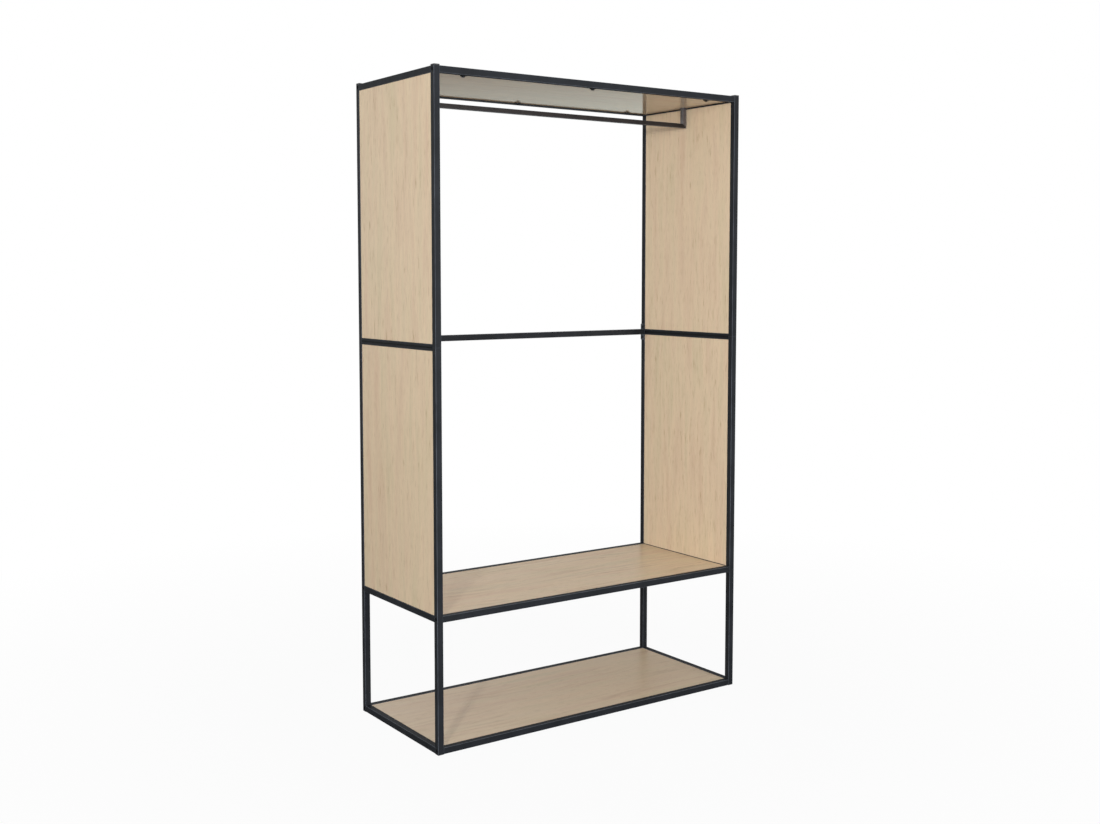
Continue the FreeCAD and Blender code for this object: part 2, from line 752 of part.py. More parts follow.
os.makedirs("parts", exist_ok=True)
for piece in pieces:
    piece.Shape.exportStep("parts/%s.step" % piece.Label)
print("%d nodes, %d solids" % (len(pieces), sum(len(piece.Shape.Solids) for piece in pieces)))
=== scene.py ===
import math
import bmesh
import bpy
from mathutils import Matrix, Vector


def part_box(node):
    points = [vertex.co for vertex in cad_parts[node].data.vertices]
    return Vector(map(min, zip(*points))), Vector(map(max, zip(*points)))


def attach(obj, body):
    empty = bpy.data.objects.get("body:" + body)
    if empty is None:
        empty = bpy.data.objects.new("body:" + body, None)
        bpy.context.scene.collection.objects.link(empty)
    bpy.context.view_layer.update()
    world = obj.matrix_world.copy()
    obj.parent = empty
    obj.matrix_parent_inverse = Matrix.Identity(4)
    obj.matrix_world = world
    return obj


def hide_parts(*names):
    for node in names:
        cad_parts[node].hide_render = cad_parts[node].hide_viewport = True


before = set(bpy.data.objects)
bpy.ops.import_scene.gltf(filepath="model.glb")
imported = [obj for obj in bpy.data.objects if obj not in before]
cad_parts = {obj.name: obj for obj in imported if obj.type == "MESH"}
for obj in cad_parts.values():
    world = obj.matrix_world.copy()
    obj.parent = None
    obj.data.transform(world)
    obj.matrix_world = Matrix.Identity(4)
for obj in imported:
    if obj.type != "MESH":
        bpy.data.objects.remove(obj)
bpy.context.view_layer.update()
mm = 0.001
print("frame loaded with %d nodes" % len(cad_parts))


# shader helpers
def tone(code):  # a colour code in linear light
    shares = [int(code[place:place + 2], 16) / 255 for place in (1, 3, 5)]
    linear = [share / 12.92 if share <= 0.04045 else ((share + 0.055) / 1.055) ** 2.4 for share in shares]
    return linear + [1.0]


def addNode(tree, kind, sockets=None, **settings):
    made = tree.nodes.new("ShaderNode" + kind)
    for key, value in settings.items():
        setattr(made, key, value)
    for key, value in (sockets or {}).items():
        if isinstance(value, bpy.types.NodeSocket):
            tree.links.new(value, made.inputs[key])
        else:
            made.inputs[key].default_value = value
    return made


def newFinish(name):
    finish = bpy.data.materials.new(name)
    finish.use_nodes = True
    tree = finish.node_tree
    tree.nodes.clear()
    shader = addNode(tree, "BsdfPrincipled")
    addNode(tree, "OutputMaterial", {"Surface": shader.outputs["BSDF"]})
    return finish, tree, shader


def mixTone(tree, share, first, second, blend="MIX"):
    mixed = addNode(tree, "Mix", {0: share, 6: first, 7: second}, data_type="RGBA", blend_type=blend)
    return mixed.outputs[2]


def spread(tree, value, low, high, newLow, newHigh):  # rescales a value, held inside its new ends
    sockets = {"Value": value, "From Min": low, "From Max": high, "To Min": newLow, "To Max": newHigh}
    return addNode(tree, "MapRange", sockets).outputs["Result"]


def sums(tree, operation, first, second):
    return addNode(tree, "Math", {0: first, 1: second}, operation=operation).outputs["Value"]


noiseSpan = (0.3, 0.7)  # a noise has most of its values in here


def noiseAt(tree, spot, width, axis=None, stretch=1.0, detail=2.0, rough=0.5):
    scale = [1 / width] * 3
    if axis is not None:
        scale[axis] /= stretch  # drawn out along the grain
    mapped = addNode(tree, "Mapping", {"Vector": spot, "Scale": scale})
    sockets = {"Vector": mapped.outputs["Vector"], "Scale": 1.0, "Detail": detail, "Roughness": rough}
    return addNode(tree, "TexNoise", sockets).outputs["Fac"]


def graded(tree, noise, low, high):  # spreads the usual values of a noise over a range
    return spread(tree, noise, *noiseSpan, low, high)


def bumpFrom(tree, height, look):
    sockets = {"Height": height, "Strength": look["relief"], "Distance": look["reliefDepth"]}
    return addNode(tree, "Bump", sockets).outputs["Normal"]


oak = {
    "warm": "#CEB497", "pale": "#D4BE9F", "cool": "#CCBA99", "late": "#A0835F", "pore": "#876C4C",
    "sway": {"width": 0.055, "stretch": 3, "detail": 3.0}, "swayReach": 0.018,
    "bands": {"width": 0.045, "stretch": 9, "detail": 4.0, "rough": 0.55}, "bandStops": (0.30, 0.50, 0.70),
    "warp": {"width": 0.13, "stretch": 5, "detail": 2.0}, "warpReach": 0.18,
    "ringWidth": 0.034, "ringPower": 2.5, "ringShare": 0.09,
    "patches": {"width": 0.050, "stretch": 5, "detail": 3.0}, "patchEdge": (0.42, 0.62),
    "streaks": {"width": 0.011, "stretch": 20, "detail": 4.0}, "streakDepth": (0.965, 1.030),
    "dashes": {"width": 0.0058, "stretch": 9, "detail": 3.0}, "dashEdge": (0.58, 0.72),
    "dashShare": (0.26, 0.70), "dashCrowd": 0.6,
    "ticks": {"width": 0.0016, "stretch": 20, "detail": 1.0}, "tickEdge": (0.60, 0.72), "tickShare": 0.30,
    "gloss": (0.29, 0.39), "tickDull": 0.10, "shine": 0.20,
    "streakRelief": 0.25, "relief": 0.10, "reliefDepth": 0.2 * mm,
}


def oakLaminate(name, axis, shift, bold=1.0, flame=oak["ringShare"], depth=1.0,
                gloss=oak["gloss"], shine=oak["shine"]):
    finish, tree, shader = newFinish(name)

    def times(first, second):
        return sums(tree, "MULTIPLY", first, second)

    def drawn(kind):  # a noise drawn out along the grain
        return noiseAt(tree, grain, axis=axis, **oak[kind])

    def edged(kind, edge):  # the same, cut down to spots with a soft edge
        return spread(tree, drawn(kind), *oak[edge], 0.0, 1.0)

    place = addNode(tree, "TexCoord").outputs["Object"]
    spot = addNode(tree, "Mapping", {"Vector": place, "Location": shift}).outputs["Vector"]
    # the grain wanders a little across the width
    wander = times(noiseAt(tree, spot, axis=axis, **oak["sway"]), oak["swayReach"])
    aside = addNode(tree, "CombineXYZ", {"Y": wander}).outputs["Vector"]
    grain = addNode(tree, "VectorMath", {0: spot, 1: aside}, operation="ADD").outputs["Vector"]
    bands = addNode(tree, "ValToRGB", {"Fac": drawn("bands")})
    stops = bands.color_ramp.elements
    warmStop, paleStop, coolStop = oak["bandStops"]
    stops[0].position, stops[0].color = warmStop, tone(oak["warm"])
    stops[1].position, stops[1].color = coolStop, tone(oak["cool"])
    stops.new(paleStop).color = tone(oak["pale"])
    # growth rings: contours of the width, warped slowly along the grain, that show in patches
    across = addNode(tree, "SeparateXYZ", {"Vector": grain}).outputs["Y"]
    warped = sums(tree, "ADD", across, times(drawn("warp"), oak["warpReach"]))
    wave = sums(tree, "SINE", times(warped, 2 * math.pi / oak["ringWidth"]), 0.0)
    rings = sums(tree, "POWER", spread(tree, wave, -1.0, 1.0, 0.0, 1.0), oak["ringPower"])
    cluster = times(rings, edged("patches", "patchEdge"))
    # streaks, the dashes that crowd in the rings, and pores
    streaks = drawn("streaks")
    crowd = spread(tree, cluster, 0.0, oak["dashCrowd"], *[bold * share for share in oak["dashShare"]])
    dashes = times(edged("dashes", "dashEdge"), crowd)
    ticks = edged("ticks", "tickEdge")
    # depth scales the whole board's colour: above 1 it is painted light, below 1 painted shade
    shade = graded(tree, streaks, *[depth * share for share in oak["streakDepth"]])
    shadeTone = addNode(tree, "CombineColor", {"Red": shade, "Green": shade, "Blue": shade}).outputs["Color"]
    colour = mixTone(tree, 1.0, bands.outputs["Color"], shadeTone, "MULTIPLY")
    colour = mixTone(tree, times(cluster, flame), colour, tone(oak["late"]))
    colour = mixTone(tree, dashes, colour, tone(oak["late"]))
    colour = mixTone(tree, times(ticks, oak["tickShare"]), colour, tone(oak["pore"]))
    tree.links.new(colour, shader.inputs["Base Color"])
    roughness = sums(tree, "ADD", graded(tree, streaks, *gloss), times(ticks, oak["tickDull"]))
    tree.links.new(roughness, shader.inputs["Roughness"])
    relief = sums(tree, "SUBTRACT", times(streaks, oak["streakRelief"]), ticks)
    tree.links.new(bumpFrom(tree, relief, oak), shader.inputs["Normal"])
    shader.inputs["Specular IOR Level"].default_value = shine
    return finish


coat = {
    # rim is a painted highlight along the edges, with some wear; the joint colour is painted shade in the seam
    # between the half rails
    "deep": "#1C1E20", "lift": "#232528", "edge": "#383B40", "rim": "#5C6066", "jointShade": "#08090A",
    "mottle": {"width": 0.055, "detail": 3.0}, "peel": {"width": 0.0017, "detail": 1.0},
    "grit": {"width": 0.0005, "detail": 2.0}, "speckEdge": (0.62, 0.75), "speckShare": 0.35,
    "sheenAndWearEdge": (0.35, 0.65), "sheenAndWearShare": (0.6, 1.0), "jointShadeEdge": (-1.0, -0.78),
    "gloss": (0.50, 0.64), "shine": 0.10, "gritRelief": 0.4, "relief": 0.10, "reliefDepth": 0.2 * mm,
}


def coatedSteel(name, look):
    finish, tree, shader = newFinish(name)
    spot = addNode(tree, "TexCoord").outputs["Object"]
    mottle, peel, grit = [noiseAt(tree, spot, **look[kind]) for kind in ("mottle", "peel", "grit")]
    colour = mixTone(tree, graded(tree, mottle, 0.0, 1.0), tone(look["deep"]), tone(look["lift"]))
    specks = spread(tree, grit, *look["speckEdge"], 0.0, look["speckShare"])
    colour = mixTone(tree, specks, colour, tone(look["edge"]))
    # the rim attribute lightens edges with a painted highlight, broken up a little by the mottle as wear
    rim = addNode(tree, "Attribute", attribute_name="rim").outputs["Fac"]
    wearSheenAndShade = sums(tree, "MULTIPLY", rim, spread(tree, mottle, *look["sheenAndWearEdge"], *look["sheenAndWearShare"]))
    wearSheenAndShade = addNode(tree, "Clamp", {"Value": wearSheenAndShade}).outputs["Result"]
    colour = mixTone(tree, wearSheenAndShade, colour, tone(look["rim"]))
    # painted shade in the seam between the half rails
    colour = mixTone(tree, spread(tree, rim, *look["jointShadeEdge"], 1.0, 0.0), colour, tone(look["jointShade"]))
    tree.links.new(colour, shader.inputs["Base Color"])
    tree.links.new(graded(tree, peel, *look["gloss"]), shader.inputs["Roughness"])
    relief = sums(tree, "ADD", peel, sums(tree, "MULTIPLY", grit, look["gritRelief"]))
    tree.links.new(bumpFrom(tree, relief, look), shader.inputs["Normal"])
    shader.inputs["Specular IOR Level"].default_value = look["shine"]
    return finish


plastic = {
    "deep": "#17181A", "lift": "#202225", "cloud": {"width": 0.006, "detail": 2.0}, "cloudEdge": noiseSpan,
    "grain": {"width": 0.0006, "detail": 3.0}, "gloss": (0.42, 0.60), "metal": 0.0,
    "relief": 0.18, "reliefDepth": 0.1 * mm,
}
blackSteel = {
    "deep": "#17181A", "lift": "#26272A", "cloud": {"width": 0.005, "detail": 3.0}, "cloudEdge": (0.35, 0.65),
    "grain": {"width": 0.0012, "detail": 4.0}, "gloss": (0.28, 0.44), "metal": 0.6,
    "relief": 0.06, "reliefDepth": 0.1 * mm,
}
baredSteel = dict(blackSteel, deep="#7C7F82", lift="#9A9DA0", grain={"width": 0.0020, "detail": 4.0},
                  gloss=(0.25, 0.42), metal=1.0)


def plainFinish(name, look):  # moulded plastic and turned steel
    finish, tree, shader = newFinish(name)
    spot = addNode(tree, "TexCoord").outputs["Object"]
    grain, cloud = [noiseAt(tree, spot, **look[kind]) for kind in ("grain", "cloud")]
    cloud = spread(tree, cloud, *look["cloudEdge"], 0.0, 1.0)
    colour = mixTone(tree, cloud, tone(look["deep"]), tone(look["lift"]))
    tree.links.new(colour, shader.inputs["Base Color"])
    tree.links.new(graded(tree, grain, *look["gloss"]), shader.inputs["Roughness"])
    tree.links.new(bumpFrom(tree, grain, look), shader.inputs["Normal"])
    shader.inputs["Metallic"].default_value = look["metal"]
    return finish


framePaint = coatedSteel("framePaint", coat)
barCoat = dict(coat, deep="#1F1B1A", lift="#272220", gloss=(0.26, 0.34), shine=0.17)
barPaint = coatedSteel("hangingBarPaint", barCoat)
# the risers wear the bar's paint made lighter and glossier: the lighter colour is a painted highlight, the gloss
# is the paint's own
riserHighlightCoat = dict(barCoat, deep="#403B3B", lift="#4C4646", gloss=(0.12, 0.18), shine=0.9)
riserHighlightPaint = coatedSteel("hangerRiserPaint", riserHighlightCoat)
endPlastic = plainFinish("endPlastic", plastic)
fixingSteel = plainFinish("fixingSteel", blackSteel)
plainSteel = plainFinish("plainSteel", baredSteel)
print("finishes ready")


# mesh helpers, all in metres
crease = math.radians(50)  # edges sharper than this stay sharp
squareOn = 0.999  # how squarely a point of an outline has to face a side to lie in it
sameSpot, sameLevel = 0.001 * mm, 0.05 * mm  # points closer than these count as one
rimRoom = 0.8 * mm  # flat left round the lip of a hole
sideWays = {"right": (1, 0), "top": (0, 1), "left": (-1, 0), "bottom": (0, -1)}
# width, height and length of a sweep on the world axes
sweepOrder = {"up": (0, 1, 2), "back": (0, 2, 1), "across": (1, 2, 0)}


def newShape():
    shape = bmesh.new()
    shape.verts.layers.float.new("rim")  # above 0 on edges, for a painted highlight with some wear; -1 along the seam of the half rails, for painted shade
    return shape


def roundedOutline(width, height, radius, steps=4, topSplits=()):
    points = []  # each point, the way out of the section there, and how far round a corner it lies
    for turn, (signX, signY) in enumerate(((1, -1), (1, 1), (-1, 1), (-1, -1))):
        middle = Vector((signX * (width / 2 - radius), signY * (height / 2 - radius)))
        for step in range(steps + 1):
            angle = math.pi / 2 * (turn - 1 + step / steps)
            out = Vector((math.cos(angle), math.sin(angle)))
            points.append((middle + radius * out, out, math.sin(math.pi * step / steps)))
        if turn == 1:
            points += [(Vector((x, height / 2)), Vector((0, 1)), 0.0) for x in sorted(topSplits, reverse=True)]
    return points


def easedStations(length, startEase, endEase):  # a quarter round at both ends of a sweep
    stations = {}
    for lean in (0.0, math.pi / 4, math.pi / 2):
        along, drawn = 1 - math.cos(lean), 1 - math.sin(lean)
        stations[startEase * along] = startEase * drawn
        stations[length - endEase * along] = endEase * drawn
    return stations


def bridge(shape, first, second, skipped=()):  # faces between two rings with the same count of points
    for step in range(len(first)):
        if step not in skipped:
            following = (step + 1) % len(first)
            shape.faces.new((first[step], first[following], second[following], second[step]))


def zipRing(shape, outer, inner, angleOf):  # closes the flat between a loop and the ring inside it
    outer, inner = sorted(outer, key=angleOf), sorted(inner, key=angleOf)

    def halfway(loop, place):  # the angle half way along one edge of a loop
        following = angleOf(loop[(place + 1) % len(loop)]) + (2 * math.pi if place + 1 >= len(loop) else 0)
        return (angleOf(loop[place % len(loop)]) + following) / 2

    outerAt = innerAt = 0
    while outerAt < len(outer) or innerAt < len(inner):
        near, far = outer[outerAt % len(outer)], inner[innerAt % len(inner)]
        outerNext = innerAt >= len(inner) or halfway(outer, outerAt) <= halfway(inner, innerAt)
        if outerAt < len(outer) and outerNext:
            outerAt += 1
            shape.faces.new((near, outer[outerAt % len(outer)], far))
        else:
            innerAt += 1
            shape.faces.new((near, inner[innerAt % len(inner)], far))


def sweepSection(shape, place, outline, stations, bore=None, holes=(), startShift=None, endShift=None):
    rimLayer = shape.verts.layers.float["rim"]
    stations = dict(stations)
    length = max(stations)
    deepest = max(stations.values()) or 1.0
    for hole in holes:
        for step in (-1, 1):
            stations.setdefault(hole["along"] + step * hole["room"], 0.0)
    levels = sorted(stations)
    spotOf = {}

    def point(flat, along, rim=0.0):
        vert = shape.verts.new(place @ Vector((flat.x, flat.y, along)))
        vert[rimLayer] = rim
        spotOf[vert] = (flat, along)
        return vert

    def skin(section, drawn):
        rings = []
        for level in levels:
            inset = stations[level] if drawn else 0.0
            ring = []
            for spot, out, rim in section:
                flat = spot - out * inset
                shift = startShift if level < length / 2 else endShift
                wearSheenAndShade = 4 * inset / deepest * (1 - inset / deepest)  # edge mask for the painted highlight with some wear, most half way round an eased end
                wearSheenAndShade = rim if rim < 0 else max(rim, wearSheenAndShade)
                ring.append(point(flat, level + (shift(flat) if shift else 0.0), wearSheenAndShade))
            rings.append(ring)
        return rings

    outside = skin(outline, True)
    inside = skin(bore, False) if bore else None
    patches, taken = [], {}
    for hole in holes:
        normal = Vector(sideWays[hole["side"]])
        tangent = Vector((-normal.y, normal.x))
        first = levels.index(hole["along"] - hole["room"])
        last = levels.index(hole["along"] + hole["room"])
        for strip, near in enumerate(outline):
            far = outline[(strip + 1) % len(outline)]
            onSide = near[1].dot(normal) > squareOn and far[1].dot(normal) > squareOn
            if onSide and near[0].dot(tangent) < 0 < far[0].dot(tangent):
                patches.append((hole, normal, tangent, range(first, last + 1), strip))
                for row in range(first, last):
                    taken.setdefault(row, []).append(strip)
    for rings in (outside, inside) if inside else (outside,):
        for row, (below, above) in enumerate(zip(rings, rings[1:])):
            bridge(shape, below, above, taken.get(row, ()))
    for end in (0, -1):
        if inside:
            bridge(shape, outside[end], inside[end])
        else:
            shape.faces.new(outside[end])
    for patch in patches:
        cutHole(shape, point, spotOf, outline, outside, inside, *patch)


def cutHole(shape, point, spotOf, outline, outside, inside, hole, normal, tangent, rows, strip):
    pair = (strip, (strip + 1) % len(outline))
    face = outline[strip][0].dot(normal)
    rounds = []
    for radius, depth in ((hole["radius"] + hole["lip"], 0.0), (hole["radius"], hole["lip"]),
                          (hole["radius"], hole["depth"])):
        ring = []
        for step in range(hole["steps"]):
            angle = 2 * math.pi * step / hole["steps"]
            flat = normal * (face - depth) + tangent * radius * math.cos(angle)
            ring.append(point(flat, hole["along"] + radius * math.sin(angle)))
        rounds.append(ring)
    for upper, lower in zip(rounds, rounds[1:]):
        bridge(shape, upper, lower)

    def angleOf(vert):
        flat, along = spotOf[vert]
        return math.atan2(along - hole["along"], flat.dot(tangent))

    zipRing(shape, [outside[row][side] for row in rows for side in pair], rounds[0], angleOf)
    if inside:
        zipRing(shape, [inside[row][side] for row in rows for side in pair], rounds[-1], angleOf)
    else:
        shape.faces.new(rounds[-1])  # a blind hole in a solid board


def drilled(side, along, width, depth, lip, steps):
    radius = width / 2
    return {"side": side, "along": along, "radius": radius, "depth": depth, "lip": lip, "steps": steps,
            "room": radius + lip + rimRoom}


def setPlace(axis, low, high):  # the frame of a sweep along one world axis, from the node's own box
    order = sweepOrder[axis]
    place = Matrix.Identity(4)
    for column, world in enumerate(order):
        for row in range(3):
            place[row][column] = 1.0 if row == world else 0.0
    for row in range(3):
        place[row][3] = low[row] if row == order[2] else (low[row] + high[row]) / 2
    return place


def closeMesh(shape, name):
    bmesh.ops.recalc_face_normals(shape, faces=shape.faces)
    if shape.calc_volume(signed=True) < 0:
        bmesh.ops.reverse_faces(shape, faces=shape.faces)
    for face in shape.faces:
        face.smooth = True
    for edge in shape.edges:
        edge.smooth = edge.calc_face_angle(0.0) < crease
    mesh = bpy.data.meshes.new(name)
    shape.to_mesh(mesh)
    shape.free()
    return mesh


def addPiece(node, shape, finish):
    name = "dressed_" + node
    piece = bpy.data.objects.new(name, closeMesh(shape, name))
    bpy.context.scene.collection.objects.link(piece)
    piece.data.materials.append(finish)
    shading = piece.modifiers.new("evenShading", "WEIGHTED_NORMAL")
    shading.keep_sharp = True
    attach(piece, "root")
    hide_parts(node)
    return piece


def middleOf(node):
    low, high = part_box(node)
    return (low + high) / 2


def looseSpots(node):  # the points of each separate solid in a node
    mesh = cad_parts[node].data
    group = list(range(len(mesh.vertices)))

    def head(item):
        while group[item] != item:
            group[item] = group[group[item]]
            item = group[item]
        return item

    spots = {}
    for vert in mesh.vertices:
        key = tuple(round(value / sameSpot) for value in vert.co)
        group[head(vert.index)] = head(spots.setdefault(key, vert.index))
    for edge in mesh.edges:
        group[head(edge.vertices[0])] = head(edge.vertices[1])
    solids = {}
    for vert in mesh.vertices:
        solids.setdefault(head(vert.index), []).append(vert.co.copy())
    return list(solids.values())


def boxOf(spots):
    low = Vector([min(spot[axis] for spot in spots) for axis in range(3)])
    high = Vector([max(spot[axis] for spot in spots) for axis in range(3)])
    return low, high


def heart(spots):
    low, high = boxOf(spots)
    return (low + high) / 2


def levelsOf(node, axis):  # where the solids of a node lie along one axis, to a tenth of a millimetre
    return sorted({round(heart(spots)[axis], 4) for spots in looseSpots(node)})


tube = {
    "wall": 1.5 * mm, "corner": 1.2 * mm, "boreCorner": 0.5 * mm, "endEase": 0.2 * mm, "seamEase": 0.6 * mm,
    "lip": 0.35 * mm,
    # width of each hole and its steps round
    "accessHole": (11 * mm, 48), "boltHole": (6.6 * mm, 24), "screwHole": (10.2 * mm, 48),
    "panelAccess": (8.5 * mm, 32), "panelHole": (4.6 * mm, 16),
}


def tubeHole(kind, side, along):  # through one wall
    width, steps = tube[kind]
    return drilled(side, along, width, tube["wall"], tube["lip"], steps)


def tubeFrom(node, axis, look, holes=(), eases=None, jointShade=0, **shifts):
    low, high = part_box(node)
    width, height, length = [(high - low)[world] for world in sweepOrder[axis]]
    wall = look["wall"]
    outline = roundedOutline(width, height, look["corner"])
    # the seam side of a half rail is marked -1, for painted shade
    outline = [(spot, out, -1.0 if spot.y * jointShade > 0 else rim) for spot, out, rim in outline]
    bore = roundedOutline(width - 2 * wall, height - 2 * wall, look["boreCorner"])
    stations = easedStations(length, *(eases or (look["endEase"], look["endEase"])))
    shape = newShape()
    sweepSection(shape, setPlace(axis, low, high), outline, stations, bore, holes, **shifts)
    return shape


sides, ends, railLevels = ("left", "right"), ("front", "back"), ("top", "shelf", "bottom")
boltLevels = [middleOf("front_%s_rail" % level).z for level in railLevels]
tieLevels = levelsOf("tie_bolts", 2)
screwLevel = heart(looseSpots("splice_screws")[0]).z
for outer, inner in (sides, sides[::-1]):
    for end in ends:
        for part in ("upper", "lower"):
            node = "%s_%s_%s_post" % (end, outer, part)
            low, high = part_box(node)
            holes = []
            for level in boltLevels:
                if low.z < level < high.z:
                    holes.append(tubeHole("accessHole", outer, level - low.z))
                    holes.append(tubeHole("boltHole", inner, level - low.z))
            if part == "lower":
                holes.append(tubeHole("screwHole", outer, screwLevel - low.z))
            for level in tieLevels if end == "back" else ():
                if low.z < level < high.z:
                    holes.append(tubeHole("boltHole", inner, level - low.z))
            eases = (tube["seamEase"], tube["endEase"])  # the seam is the lower end of an upper post
            post = tubeFrom(node, "up", tube, holes, eases if part == "upper" else eases[::-1])
            addPiece(node, post, framePaint)
print("posts made")

panelScrewRows = levelsOf("panel_screws", 1)
# the panel screws go in through a wide hole on this side of a rail
wideSides = {"top_rail": "top", "upper_mid_rail": "bottom", "lower_mid_rail": "top", "shelf_rail": "bottom"}
jointShadeSides = {"upper_mid_rail": -1, "lower_mid_rail": 1}  # the half rails meet in a line of painted shade
for side in sides:
    for kind in ("top_rail", "upper_mid_rail", "lower_mid_rail", "shelf_rail", "bottom_rail"):
        node = side + "_" + kind
        low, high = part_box(node)
        holes = []
        for row in panelScrewRows if kind in wideSides else ():
            wide = wideSides[kind]
            narrow = "bottom" if wide == "top" else "top"
            holes.append(tubeHole("panelAccess", wide, row - low.y))
            holes.append(tubeHole("panelHole", narrow, row - low.y))
        rail = tubeFrom(node, "back", tube, holes, jointShade=jointShadeSides.get(kind, 0))
        addPiece(node, rail, framePaint)
for node in ["%s_%s_rail" % (end, level) for end in ends for level in railLevels] + ["back_mid_rail"]:
    addPiece(node, tubeFrom(node, "across", tube), framePaint)
print("rails made")

postEnd = {
    "corner": 1.2 * mm, "capRound": 0.8 * mm, "footRound": 0.8 * mm, "roundSteps": 3, "seatEase": 0.15 * mm,
    "crown": 0.05 * mm, "crownInset": 1.1 * mm,
    "legWidth": 10 * mm, "legThickness": 2 * mm, "legOut": 8.3 * mm, "legRound": 0.4 * mm, "legSteps": 2,
    "legEases": (0.3 * mm, 0.05 * mm),
}


def endPiece(node, isCap):
    low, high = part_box(node)
    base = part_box(node.replace("_cap", "_upper_post").replace("_foot", "_lower_post"))
    seat = base[1].z if isCap else base[0].z  # where the flange meets the post
    flange = high.z - seat if isCap else seat - low.z
    edge = postEnd["capRound"] if isCap else postEnd["footRound"]
    stations = {0.0: postEnd["seatEase"], postEnd["seatEase"]: 0.0}
    for step in range(postEnd["roundSteps"] + 1):
        angle = math.pi / 2 * step / postEnd["roundSteps"]
        rise = flange - postEnd["crown"] - edge * (1 - math.sin(angle))
        stations[rise] = edge * (1 - math.cos(angle))
    stations[flange] = postEnd["crownInset"]
    middle = (low + high) / 2
    facing = 1.0 if isCap else -1.0
    place = Matrix.Translation((middle.x, middle.y, seat)) @ Matrix.Diagonal((1, 1, facing, 1))
    shape = newShape()
    outline = roundedOutline(high.x - low.x, high.y - low.y, postEnd["corner"])
    sweepSection(shape, place, outline, stations)
    legDepth = (high.z - low.z) - flange
    legSize = [postEnd[part] for part in ("legWidth", "legThickness", "legRound", "legSteps")]
    legOutline = roundedOutline(*legSize)
    legMiddle = postEnd["legOut"] - postEnd["legThickness"] / 2
    for sign in (-1, 1):
        legPlace = place @ Matrix.Translation((0, sign * legMiddle, -legDepth))
        sweepSection(shape, legPlace, legOutline, easedStations(legDepth, *postEnd["legEases"]))
    return shape


for side in sides:
    for end in ends:
        for kind in ("cap", "foot"):
            node = "%s_%s_%s" % (end, side, kind)
            addPiece(node, endPiece(node, kind == "cap"), endPlastic)
print("caps and feet made")

board = {
    "edge": 0.6 * mm, "edgeSteps": 3, "snug": 1.0 * mm,
    "recess": 13 * mm, "recessDepth": 4.5 * mm, "recessLip": 0.3 * mm, "recessSteps": 48, "recessSplit": 9 * mm,
}
# where in the grain each board is cut and how strong its dashes, rings and shine are; depth scales the streak
# shade and with it the whole board, as painted light on the shelf and painted shade on the bottom board
boardLooks = {
    "top_board": {"shift": (0.31, 0.77, 0.12), "bold": 0.3, "flame": 0.05, "gloss": (0.09, 0.12)},
    "shelf_board": {"shift": (1.93, 1.41, 2.2), "bold": 0.65, "flame": 0.26, "depth": 1.06},
    "bottom_board": {"shift": (4.37, 3.05, 0.9), "bold": 0.65, "flame": 0.26, "depth": 0.92, "shine": 0.36},
}
hangerSpots = [heart(spots) for spots in looseSpots("hanger_bolts")]
recess = [board[part] for part in ("recess", "recessDepth", "recessLip", "recessSteps")]
for node, look in boardLooks.items():
    low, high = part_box(node)
    holes = splits = ()
    if node == "top_board":
        holes = [drilled("top", spot.x - low.x, *recess) for spot in hangerSpots]
        splits = (-board["recessSplit"], board["recessSplit"])
    outline = roundedOutline(high.y - low.y, high.z - low.z, board["edge"], board["edgeSteps"], splits)
    stations = easedStations(high.x - low.x, board["edge"], board["edge"])
    shape = newShape()
    sweepSection(shape, setPlace("across", low, high), outline, stations, None, holes)
    addPiece(node, shape, oakLaminate("oak_" + node, axis=0, **look))
panelShifts = {"left_upper_panel": (0.2, 0.63, 5.1), "left_lower_panel": (0.9, 2.26, 7.4),
               "right_upper_panel": (2.4, 4.18, 1.7), "right_lower_panel": (3.3, 6.07, 3.6)}
for node, shift in panelShifts.items():
    low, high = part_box(node)
    snug = Vector((0, board["snug"], board["snug"]))  # the panels sit close in their frames
    low, high = low - snug, high + snug
    outline = roundedOutline(high.x - low.x, high.y - low.y, board["edge"], board["edgeSteps"])
    stations = easedStations(high.z - low.z, board["edge"], board["edge"])
    shape = newShape()
    sweepSection(shape, setPlace("up", low, high), outline, stations)
    addPiece(node, shape, oakLaminate("oak_" + node, axis=2, shift=shift))
print("boards and panels made")

hangTube = {"wall": 1.2 * mm, "corner": 0.9 * mm, "boreCorner": 0.4 * mm, "endEase": 0.25 * mm}
barLow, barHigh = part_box("hanging_bar")
barHalf = (barHigh.z - barLow.z) / 2
bar = tubeFrom("hanging_bar", "across", hangTube,
               startShift=lambda flat: flat.y + barHalf, endShift=lambda flat: -flat.y - barHalf)
addPiece("hanging_bar", bar, barPaint)
for side, sign in (("left", 1), ("right", -1)):
    node = side + "_hanger_riser"
    riser = tubeFrom(node, "up", hangTube, startShift=lambda flat: sign * flat.x + barHalf)
    addPiece(node, riser, riserHighlightPaint)
print("hanging rail made")


def keyRadius(kind, radius, angle):  # how far out a ring lies at an angle
    if kind == "hex":
        return radius * math.cos(math.pi / 6) / math.cos(angle % (math.pi / 3) - math.pi / 6)
    if kind == "cross":
        lean = abs((angle + math.pi / 4) % (math.pi / 2) - math.pi / 4)
        armEnd = math.pi / 12  # the corner of an arm
        return radius / math.cos(lean) if lean <= armEnd else radius * math.tan(armEnd) / math.sin(lean)
    return radius


screwForm = {"tipWidth": 0.62, "tipLength": 0.4, "headEase": 0.15 * mm, "domeSteps": 5,
             "keyEase": 0.12 * mm, "keyPoint": 0.3}


